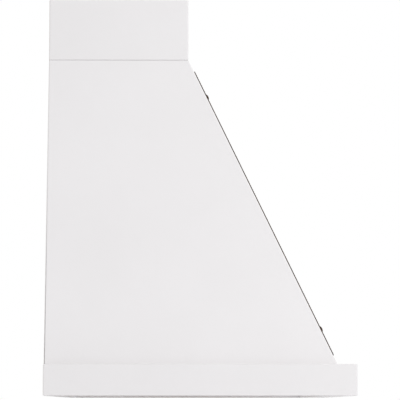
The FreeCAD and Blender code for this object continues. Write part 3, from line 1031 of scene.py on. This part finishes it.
@dataclass(frozen=True)
class Strap:
    """A forged flat bar on the front panel, with a planished outer face and eased edges."""

    node: str
    finish: DarkBronze
    slot: str = "dark_bronze"
    arris: float = 0.0006
    mesh_step: float = 0.0022
    dent: float = 0.0095
    dent_depth: float = 0.00022
    dent_reach: float = 0.7
    dent_fade: float = 0.0018
    ridge_width: float = 0.12
    edge_waver: float = 0.00018
    waver_length: float = 0.06
    waver_reach: float = 0.0088
    edge_wear: float = 0.35
    ridge_wear: float = 0.34

    def lie(self) -> Lie:
        """Measures the bar.

        Returns:
            Its lie, with the through direction away from the panel.
        """
        work = opened(self.node)
        lie = Lie.of(work)
        if lie.through.y > 0.0:
            far_corner = lie.corner + lie.across * lie.size.y + lie.through * lie.size.z
            lie = Lie(far_corner, lie.along, -lie.across, -lie.through, lie.size)
        work.free()
        return lie

    def build(self) -> bpy.types.Object:
        """Forges the bar.

        Returns:
            The finished piece.
        """
        name = self.node + "_forged"
        lie = self.lie()
        step = Vector((self.mesh_step, self.mesh_step, lie.size.z))
        work = rounded_slab(lie.size, self.arris, step)
        worn_layer = work.verts.layers.float.new(WORN)
        for vertex in work.verts:
            vertex[worn_layer] = self._hammer(vertex, lie.size)
        work.transform(lie.matrix())
        return finish_piece(name, settled(work, name), [self.finish.material()], self.slot, self.node)

    def _hammer(self, vertex: bmesh.types.BMVert, size: Vector) -> float:
        """Moves one point of the bar as the hammer does.

        Args:
            vertex: The point, in the bar's own directions.
            size: The bar's size.

        Returns:
            How worn the finish is there.
        """
        point = vertex.co.copy()
        from_side = min(point.y, size.y - point.y)
        inset = min(point.x, size.x - point.x, from_side)
        second = sorted((inset, point.z, size.z - point.z))[1]
        near_edge = 1.0 - min(second / self.arris, 1.0)
        outside = point.z > size.z / 2.0
        distances, _ = noise.voronoi(Vector((point.x, point.y, 0.0)) / self.dent)
        hollow = max(0.0, 1.0 - distances[0] / self.dent_reach) ** 2
        ridge = max(0.0, 1.0 - (distances[1] - distances[0]) / self.ridge_width)
        if outside:
            vertex.co.z -= self.dent_depth * hollow * min(inset / self.dent_fade, 1.0)
        sway = noise.noise(Vector((point.x / self.waver_length, 0.0, size.y)))
        inwards = 1.0 if point.y < size.y / 2.0 else -1.0
        near_side = max(0.0, 1.0 - from_side / self.waver_reach)
        vertex.co.y += inwards * near_side * self.edge_waver * (0.5 + 0.5 * sway)
        return min(1.0, self.edge_wear * near_edge + self.ridge_wear * ridge * outside)


@dataclass(frozen=True)
class FastenerPlace:
    """Where one fastener sits: the middle of its seat, the way that its head looks and its sizes."""

    seat: Vector
    outward: Vector
    head_radius: float
    head_height: float
    shank_radius: float
    shank_length: float

    @classmethod
    def of(cls, points: list[Vector], outward: Vector) -> "FastenerPlace":
        """Measures one fastener of a solid.

        Args:
            points: The points of the fastener's solid.
            outward: The way that its head looks.

        Returns:
            Its place and sizes. The seat is where the solid first gets as wide as its head.
        """
        nearly_widest = 0.97
        heights = [point.dot(outward) for point in points]
        low, high = min(heights), max(heights)
        flat = [point - outward * height for point, height in zip(points, heights)]
        tip = [spot for spot, height in zip(flat, heights) if height < low + TOUCHING]
        axis = sum(tip, Vector()) / len(tip)
        reach = [(spot - axis).length for spot in flat]
        head_radius = max(reach)
        shank_radius = max((spot - axis).length for spot in tip)
        seat = min(height for height, arm in zip(heights, reach) if arm > nearly_widest * head_radius)
        return cls(axis + outward * seat, outward, head_radius, high - seat, shank_radius, seat - low)


class FastenerSetter(NodeBuilder):
    """A geometry tree that sets one fastener on each point of a mesh, square to the point's surface."""

    SOCKETS = {
        "Places": "NodeSocketGeometry",
        "Fastener": "NodeSocketObject",
        "Finish": "NodeSocketMaterial",
        "Largest Turn": "NodeSocketFloat",
        "Seed": "NodeSocketInt",
    }

    def __init__(self) -> None:
        """Builds the tree and keeps the identifier of each of its inputs."""
        super().__init__(bpy.data.node_groups.new("fastener_setter", "GeometryNodeTree"))
        interface = self.tree.interface
        self.inputs = {
            name: interface.new_socket(name, in_out="INPUT", socket_type=kind).identifier
            for name, kind in self.SOCKETS.items()
        }
        interface.new_socket("Fasteners", in_out="OUTPUT", socket_type="NodeSocketGeometry")
        group = self.add("NodeGroupInput").outputs
        outward = self.add("GeometryNodeInputNamedAttribute", {"Name": OUTWARD}, data_type="FLOAT_VECTOR")
        facing = self.add(
            "FunctionNodeAlignRotationToVector", {"Vector": outward.outputs["Attribute"]}, axis="Z"
        )
        # Inputs 2 and 3 and output 1 are the random node's sockets for plain numbers.
        angle = self.add(
            "FunctionNodeRandomValue",
            {2: 0.0, 3: group["Largest Turn"], "Seed": group["Seed"]},
            data_type="FLOAT",
        )
        turn = self.add(
            "FunctionNodeAxisAngleToRotation", {"Axis": (0.0, 0.0, 1.0), "Angle": angle.outputs[1]}
        )
        driven = self.add(
            "FunctionNodeRotateRotation",
            {"Rotation": facing.outputs[0], "Rotate By": turn.outputs[0]},
            rotation_space="LOCAL",
        )
        pattern = self.add("GeometryNodeObjectInfo", {"Object": group["Fastener"]})
        copies = self.add(
            "GeometryNodeInstanceOnPoints",
            {
                "Points": group["Places"],
                "Instance": pattern.outputs["Geometry"],
                "Rotation": driven.outputs[0],
            },
        )
        real = self.add("GeometryNodeRealizeInstances", {"Geometry": copies.outputs[0]})
        dressed = self.add(
            "GeometryNodeSetMaterial", {"Geometry": real.outputs[0], "Material": group["Finish"]}
        )
        self.add("NodeGroupOutput", {0: dressed.outputs[0]})

    def place(
        self,
        places: Sequence[FastenerPlace],
        fastener: BMesh,
        finish: Material,
        largest_turn: float,
        seed: int,
        name: str,
    ) -> bpy.types.Mesh:
        """Sets copies of a fastener.

        Args:
            places: Where they go.
            fastener: One fastener, with its seat at the origin and its head up.
            finish: Its material.
            largest_turn: The most that one is turned about its own axis.
            seed: Picks each one's turn.
            name: The name of the result.

        Returns:
            One mesh with all of them in place.
        """
        points = bmesh.new()
        layer = points.verts.layers.float_vector.new(OUTWARD)
        for place in places:
            points.verts.new(place.seat)[layer] = place.outward
        pattern = temporary(fastener, "one_" + name)
        carrier = temporary(points, name + "_places")
        setting = carrier.modifiers.new("setting", "NODES")
        setting.node_group = self.tree
        setting[self.inputs["Fastener"]] = pattern
        setting[self.inputs["Finish"]] = finish
        setting[self.inputs["Largest Turn"]] = largest_turn
        setting[self.inputs["Seed"]] = seed
        mesh = taken(carrier, name)
        bpy.data.objects.remove(pattern)
        return mesh


@dataclass(frozen=True)
class DomedButton:
    """A domed button: a cap of a ball over a thin rim, on a plain shank."""

    rim: float = 0.0006
    rim_ease: float = 0.00021
    tip_bevel: float = 0.0004
    faces_round: int = 48
    cap_rings: int = 12
    crown_reach: float = 0.55
    crown_wear: float = 0.6
    rim_place: float = 0.98
    rim_reach: float = 0.08
    rim_wear: float = 0.9

    def mesh(self, size: FastenerPlace) -> BMesh:
        """One button, with its seat at the origin and its dome up.

        Args:
            size: A place whose sizes the button takes.

        Returns:
            Its mesh, with the wear of its crown and rim.
        """
        rise = size.head_height - self.rim
        ball = (size.head_radius**2 + rise**2) / (2.0 * rise)
        widest = math.asin(min(1.0, size.head_radius / ball))
        angles = [widest * ring / self.cap_rings for ring in range(self.cap_rings + 1)]
        cap = [
            (ball * math.sin(angle), size.head_height - ball * (1.0 - math.cos(angle)))
            for angle in angles
        ]
        profile = [
            *cap,
            (size.head_radius, self.rim_ease),
            (size.head_radius - self.rim_ease, 0.0),
            (size.shank_radius, 0.0),
            (size.shank_radius, self.tip_bevel - size.shank_length),
            (size.shank_radius - self.tip_bevel, -size.shank_length),
            (0.0, -size.shank_length),
        ]
        mesh = turned_profile(profile, self.faces_round)
        worn = mesh.verts.layers.float.new(WORN)
        for vertex in mesh.verts:
            vertex[worn] = self._wear(vertex.co.xy.length / size.head_radius)
        return mesh

    def _wear(self, arm: float) -> float:
        """How worn the finish is.

        Args:
            arm: The distance from the axis, as a share of the head's radius.

        Returns:
            The wear of the crown or of the rim.
        """
        crown = max(0.0, 1.0 - arm / self.crown_reach)
        rim = max(0.0, 1.0 - abs(arm - self.rim_place) / self.rim_reach)
        return self.crown_wear * crown + self.rim_wear * rim


@dataclass(frozen=True)
class WasherHeadScrew:
    """A cabinet screw: a rounded head on a broad washer, a cross recess and a coarse thread."""

    washer: float = 0.0007
    washer_ease: float = 0.00021
    dome_share: float = 0.66
    flat_share: float = 0.55
    flat_drop: float = 0.00012
    dome_rings: int = 6
    recess_reach: float = 0.0019
    recess_width: float = 0.00085
    recess_depth: float = 0.0014
    recess_taper: float = 0.45
    recess_clearance: float = 0.0004
    pitch: float = 0.0018
    thread_depth: float = 0.0006
    rows_per_turn: int = 6
    plain_neck: float = 0.004
    neck_sunk: float = 0.00035
    point: float = 0.005
    point_share: float = 0.12
    faces_round: int = 36

    def mesh(self, size: FastenerPlace) -> BMesh:
        """One screw, with its seat at the origin and its head up."""
        head = combined(self._head(size), self._recess(size), "DIFFERENCE")
        return combined(head, self._thread(size), "UNION")

    def _head(self, size: FastenerPlace) -> BMesh:
        """Turns the washer and the rounded head.

        Args:
            size: A place whose sizes the screw takes.

        Returns:
            Their closed mesh.
        """
        dome = size.head_radius * self.dome_share
        flat = dome * self.flat_share
        shoulder = size.head_height - self.flat_drop
        angles = [math.pi / 2.0 * ring / self.dome_rings for ring in range(1, self.dome_rings + 1)]
        profile = [
            *((flat * share, size.head_height - self.flat_drop * share**2) for share in (0.0, 0.5, 1.0)),
            *(
                (
                    flat + (dome - flat) * math.sin(angle),
                    self.washer + (shoulder - self.washer) * math.cos(angle),
                )
                for angle in angles
            ),
            (size.head_radius - self.washer_ease, self.washer),
            (size.head_radius, self.washer - self.washer_ease),
            (size.head_radius, self.washer_ease),
            (size.head_radius - self.washer_ease, 0.0),
            (0.0, 0.0),
        ]
        return turned_profile(profile, self.faces_round)

    def _recess(self, size: FastenerPlace) -> BMesh:
        """Makes the tapered cross that the driver fits.

        Args:
            size: A place whose sizes the screw takes.

        Returns:
            The closed mesh that is cut out of the head.
        """
        cross = bmesh.new()
        reach, half = self.recess_reach, self.recess_width / 2.0
        outline = [(reach, -half), (reach, half), (half, half)]
        ring = [
            Matrix.Rotation(math.pi / 2.0 * quarter, 2) @ Vector(point)
            for quarter in range(4)
            for point in outline
        ]
        top, foot = size.head_height + self.recess_clearance, size.head_height - self.recess_depth
        rows = [
            [cross.verts.new((*(point * share), level)) for point in ring]
            for level, share in ((top, 1.0), (foot, self.recess_taper))
        ]
        cross.faces.new(rows[0])
        cross.faces.new(rows[1][::-1])
        for index in range(len(ring)):
            following = (index + 1) % len(ring)
            cross.faces.new((rows[0][following], rows[0][index], rows[1][index], rows[1][following]))
        bmesh.ops.recalc_face_normals(cross, faces=cross.faces)
        return cross

    def _thread_point(self, row: int, face: int, size: FastenerPlace) -> Vector:
        """Finds one point of the thread. Its rows climb with the ridge as they go round.

        Args:
            row: The number of its row, from the neck down.
            face: Its number in the row.
            size: A place whose sizes the screw takes.

        Returns:
            The point.
        """
        start, end = -self.plain_neck, -size.shank_length
        turns = row / self.rows_per_turn
        height = min(max(start - (turns + face / self.faces_round - 1.0) * self.pitch, end), start)
        ridge = (abs(turns % 1.0 - 0.5) * 2.0) ** 3
        begun = min(1.0, (start - height) / self.pitch)
        taper = math.sqrt(min(1.0, (height - end) / self.point))
        radius = size.shank_radius - self.thread_depth * (1.0 - ridge * begun)
        radius *= self.point_share + (1.0 - self.point_share) * taper
        angle = math.tau * face / self.faces_round
        return Vector((radius * math.cos(angle), radius * math.sin(angle), height))

    def _thread(self, size: FastenerPlace) -> BMesh:
        """Cuts the shank: a plain neck, a thread and a point.

        Args:
            size: A place whose sizes the screw takes.

        Returns:
            Its closed mesh, with the neck's end inside the washer.
        """
        turns = math.ceil((size.shank_length - self.plain_neck) / self.pitch) + 2
        mesh = bmesh.new()
        rows = [
            [mesh.verts.new(self._thread_point(row, face, size)) for face in range(self.faces_round)]
            for row in range(turns * self.rows_per_turn + 1)
        ]
        for upper, lower in zip(rows, rows[1:]):
            for face in range(self.faces_round - 1):
                mesh.faces.new((upper[face], lower[face], lower[face + 1], upper[face + 1]))
        turned = rows[self.rows_per_turn :]
        for upper, lower, next_upper, next_lower in zip(rows, rows[1:], turned, turned[1:]):
            mesh.faces.new((upper[-1], lower[-1], next_lower[0], next_upper[0]))
        bmesh.ops.remove_doubles(mesh, verts=mesh.verts, dist=MERGED)
        bmesh.ops.holes_fill(mesh, edges=[edge for edge in mesh.edges if edge.is_boundary])
        neck = {vertex for vertex in mesh.verts if vertex.co.z > -self.plain_neck - MERGED}
        top = [face for face in mesh.faces if neck.issuperset(face.verts)]
        raised = bmesh.ops.extrude_face_region(mesh, geom=top)["geom"]
        for vertex in (thing for thing in raised if isinstance(thing, bmesh.types.BMVert)):
            vertex.co.z = self.neck_sunk
        bmesh.ops.delete(mesh, geom=top, context="FACES_ONLY")
        bmesh.ops.recalc_face_normals(mesh, faces=mesh.faces)
        return mesh


@dataclass(frozen=True)
class FastenerGroup:
    """All fasteners of one kind: one node, one pattern, set by the geometry tree."""

    node: str
    slot: str
    outward_of: Callable[[Vector], Vector]
    pattern: DomedButton | WasherHeadScrew
    finish: Finish
    seed: int

    def build(self, setter: FastenerSetter) -> bpy.types.Object:
        """Makes the pattern and sets it at each place of the node.

        Args:
            setter: The geometry tree.

        Returns:
            The finished piece.
        """
        work = opened(self.node)
        places = []
        for points in lumps(work):
            middle = sum(points, Vector()) / len(points)
            places.append(FastenerPlace.of(points, self.outward_of(middle)))
        work.free()
        name = self.node + "_set"
        material = self.finish.material()
        mesh = setter.place(places, self.pattern.mesh(places[0]), material, math.tau, self.seed, name)
        mesh.materials.clear()
        mesh.set_sharp_from_angle(angle=SHARP)
        return finish_piece(name, mesh, [material], self.slot, self.node)


@dataclass(frozen=True)
class Metalwork:
    """The two straps with their buttons, and the screws inside."""

    bronze: DarkBronze
    zinc: ZincPlate
    straps: tuple[str, str] = ("left_strap", "right_strap")

    def build(self) -> None:
        """Makes the straps, then sets the buttons square to them and the screws upright."""
        outward = {}
        for node in self.straps:
            strap = Strap(node, self.bronze)
            outward[node] = strap.lie().through
            strap.build()

        def off_strap(middle: Vector) -> Vector:
            """The way that a button of this place looks."""
            return outward[self.straps[0] if middle.x < 0.0 else self.straps[1]]

        def upright(_: Vector) -> Vector:
            """The way that every screw looks."""
            return UP

        button, screw = DomedButton(), WasherHeadScrew()
        groups = (
            FastenerGroup("strap_buttons", "dark_bronze", off_strap, button, self.bronze, seed=3),
            FastenerGroup("shelf_screws", "screw_steel", upright, screw, self.zinc, seed=5),
            FastenerGroup("chimney_screws", "screw_steel", upright, screw, self.zinc, seed=8),
        )
        setter = FastenerSetter()
        for group in groups:
            group.build(setter)


# Studio -----------------------------------------------------


@dataclass(frozen=True)
class SoftBox:
    """One broad, soft studio lamp that looks at the cover."""

    name: str
    place: Colour
    side: float
    watts: float

    def build(self, target: Vector) -> None:
        """Hangs the lamp.

        Args:
            target: The point that it looks at.
        """
        lamp = bpy.data.lights.new(self.name, "AREA")
        lamp.shape = "SQUARE"
        lamp.size = self.side
        lamp.energy = self.watts
        holder = bpy.data.objects.new(self.name, lamp)
        bpy.context.scene.collection.objects.link(holder)
        holder.location = self.place
        holder.rotation_euler = (target - holder.location).to_track_quat("-Z", "Y").to_euler()


@dataclass(frozen=True)
class Camera:
    """A long lens a little below the foot of the cover, nearly square to its left side."""

    name: str = "side_camera"
    place: Colour = (-4.258, 0.034, -0.020)
    pitch: float = math.radians(5.748)
    swing: float = math.radians(-0.504)
    lens: float = 184.74
    sensor: float = 36.0

    def build(self) -> None:
        """Sets up the camera of the scene."""
        data = bpy.data.cameras.new(self.name)
        data.sensor_width = self.sensor
        data.lens = self.lens
        camera = bpy.data.objects.new(self.name, data)
        bpy.context.scene.collection.objects.link(camera)
        level = math.cos(self.pitch)
        ahead = Vector((level * math.cos(self.swing), level * math.sin(self.swing), math.sin(self.pitch)))
        camera.location = self.place
        camera.rotation_euler = ahead.to_track_quat("-Z", "Y").to_euler()
        bpy.context.scene.camera = camera


@dataclass(frozen=True)
class Studio:
    """A white room: soft light from all round, a little more from above and in front, and a pale floor."""

    ambient: Colour = (0.742, 0.742, 0.742)
    floor_level: float = -0.2
    floor_radius: float = 3.2
    floor_fade: Span = (1.4, 3.0)
    floor_tone: Colour = (0.93, 0.932, 0.94)
    lamps: tuple[SoftBox, ...] = (
        SoftBox("side_lamp", (-2.4, -1.25, 1.0), 1.6, 12.5),
        SoftBox("far_lamp", (2.6, -1.2, 1.5), 1.8, 4.0),
        SoftBox("top_lamp", (0.0, -0.3, 3.1), 2.6, 27.0),
    )

    def build(self) -> None:
        """Makes the world, the floor, the lamps and the camera."""
        bpy.context.scene.view_settings.view_transform = "Standard"
        self._world()
        self._floor()
        low, high = SOLID_BOX
        for lamp in self.lamps:
            lamp.build((low + high) / 2.0)
        Camera().build()
        log.info("studio ready")

    def _world(self) -> None:
        """White where it is looked at or mirrored, and soft light for everything else."""
        world = bpy.data.worlds.new("studio_world")
        world.use_nodes = True
        bpy.context.scene.world = world
        tree = NodeBuilder(world.node_tree)
        tree.tree.nodes.clear()
        light = tree.add("ShaderNodeBackground", {"Color": (*self.ambient, 1.0), "Strength": 1.0})
        white = tree.add("ShaderNodeBackground", {"Color": WHITE, "Strength": 1.0})
        path = tree.add("ShaderNodeLightPath").outputs
        seen = path["Is Camera Ray"]
        for ray in ("Is Glossy Ray", "Is Transmission Ray"):
            seen = tree.add("ShaderNodeMath", {0: seen, 1: path[ray]}, operation="MAXIMUM").outputs[0]
        mixed = tree.add("ShaderNodeMixShader", {0: seen, 1: light.outputs[0], 2: white.outputs[0]})
        tree.add("ShaderNodeOutputWorld", {"Surface": mixed.outputs[0]})

    def _floor(self) -> None:
        """A round pale floor that keeps the cover's shadow and fades out at its rim."""
        disc = bmesh.new()
        bmesh.ops.create_circle(disc, cap_ends=True, segments=96, radius=self.floor_radius)
        disc.transform(Matrix.Translation((0.0, 0.0, self.floor_level)))
        floor = bpy.data.objects.new("studio_floor", settled(disc, "studio_floor"))
        bpy.context.scene.collection.objects.link(floor)
        floor.data.materials.append(self._floor_material())

    def _floor_material(self) -> Material:
        """Mixes the floor's finish: matt and pale, and clear towards the rim and from below.

        Returns:
            The material.
        """
        tree = ShaderBuilder("studio_floor")
        radius = tree.vector("LENGTH", tree.vector("MULTIPLY", tree.place(), (1.0, 1.0, 0.0)))
        faded = tree.spread(radius, 0.0, 1.0, *self.floor_fade)
        below = tree.add("ShaderNodeNewGeometry").outputs["Backfacing"]
        gone = tree.number("MAXIMUM", faded, below)
        matt = tree.add("ShaderNodeBsdfDiffuse", {"Color": (*self.floor_tone, 1.0)})
        clear = tree.add("ShaderNodeBsdfTransparent")
        mixed = tree.add("ShaderNodeMixShader", {0: gone, 1: matt.outputs[0], 2: clear.outputs[0]})
        tree.add("ShaderNodeOutputMaterial", {"Surface": mixed.outputs[0]})
        return tree.material


# The whole --------------------------------------------------


def main() -> None:
    """Builds the studio and every piece of the cover, in order."""
    logging.basicConfig(level=logging.INFO, format="%(message)s")
    Studio().build()
    paint = SatinPaint()
    metalwork = Metalwork(DarkBronze(), ZincPlate())
    for part in (PaintedShell(paint), Framework(paint), InsertShelf(paint), metalwork):
        log.info("%s", type(part).__name__)
        part.build()


if __name__ == "__main__":
    main()
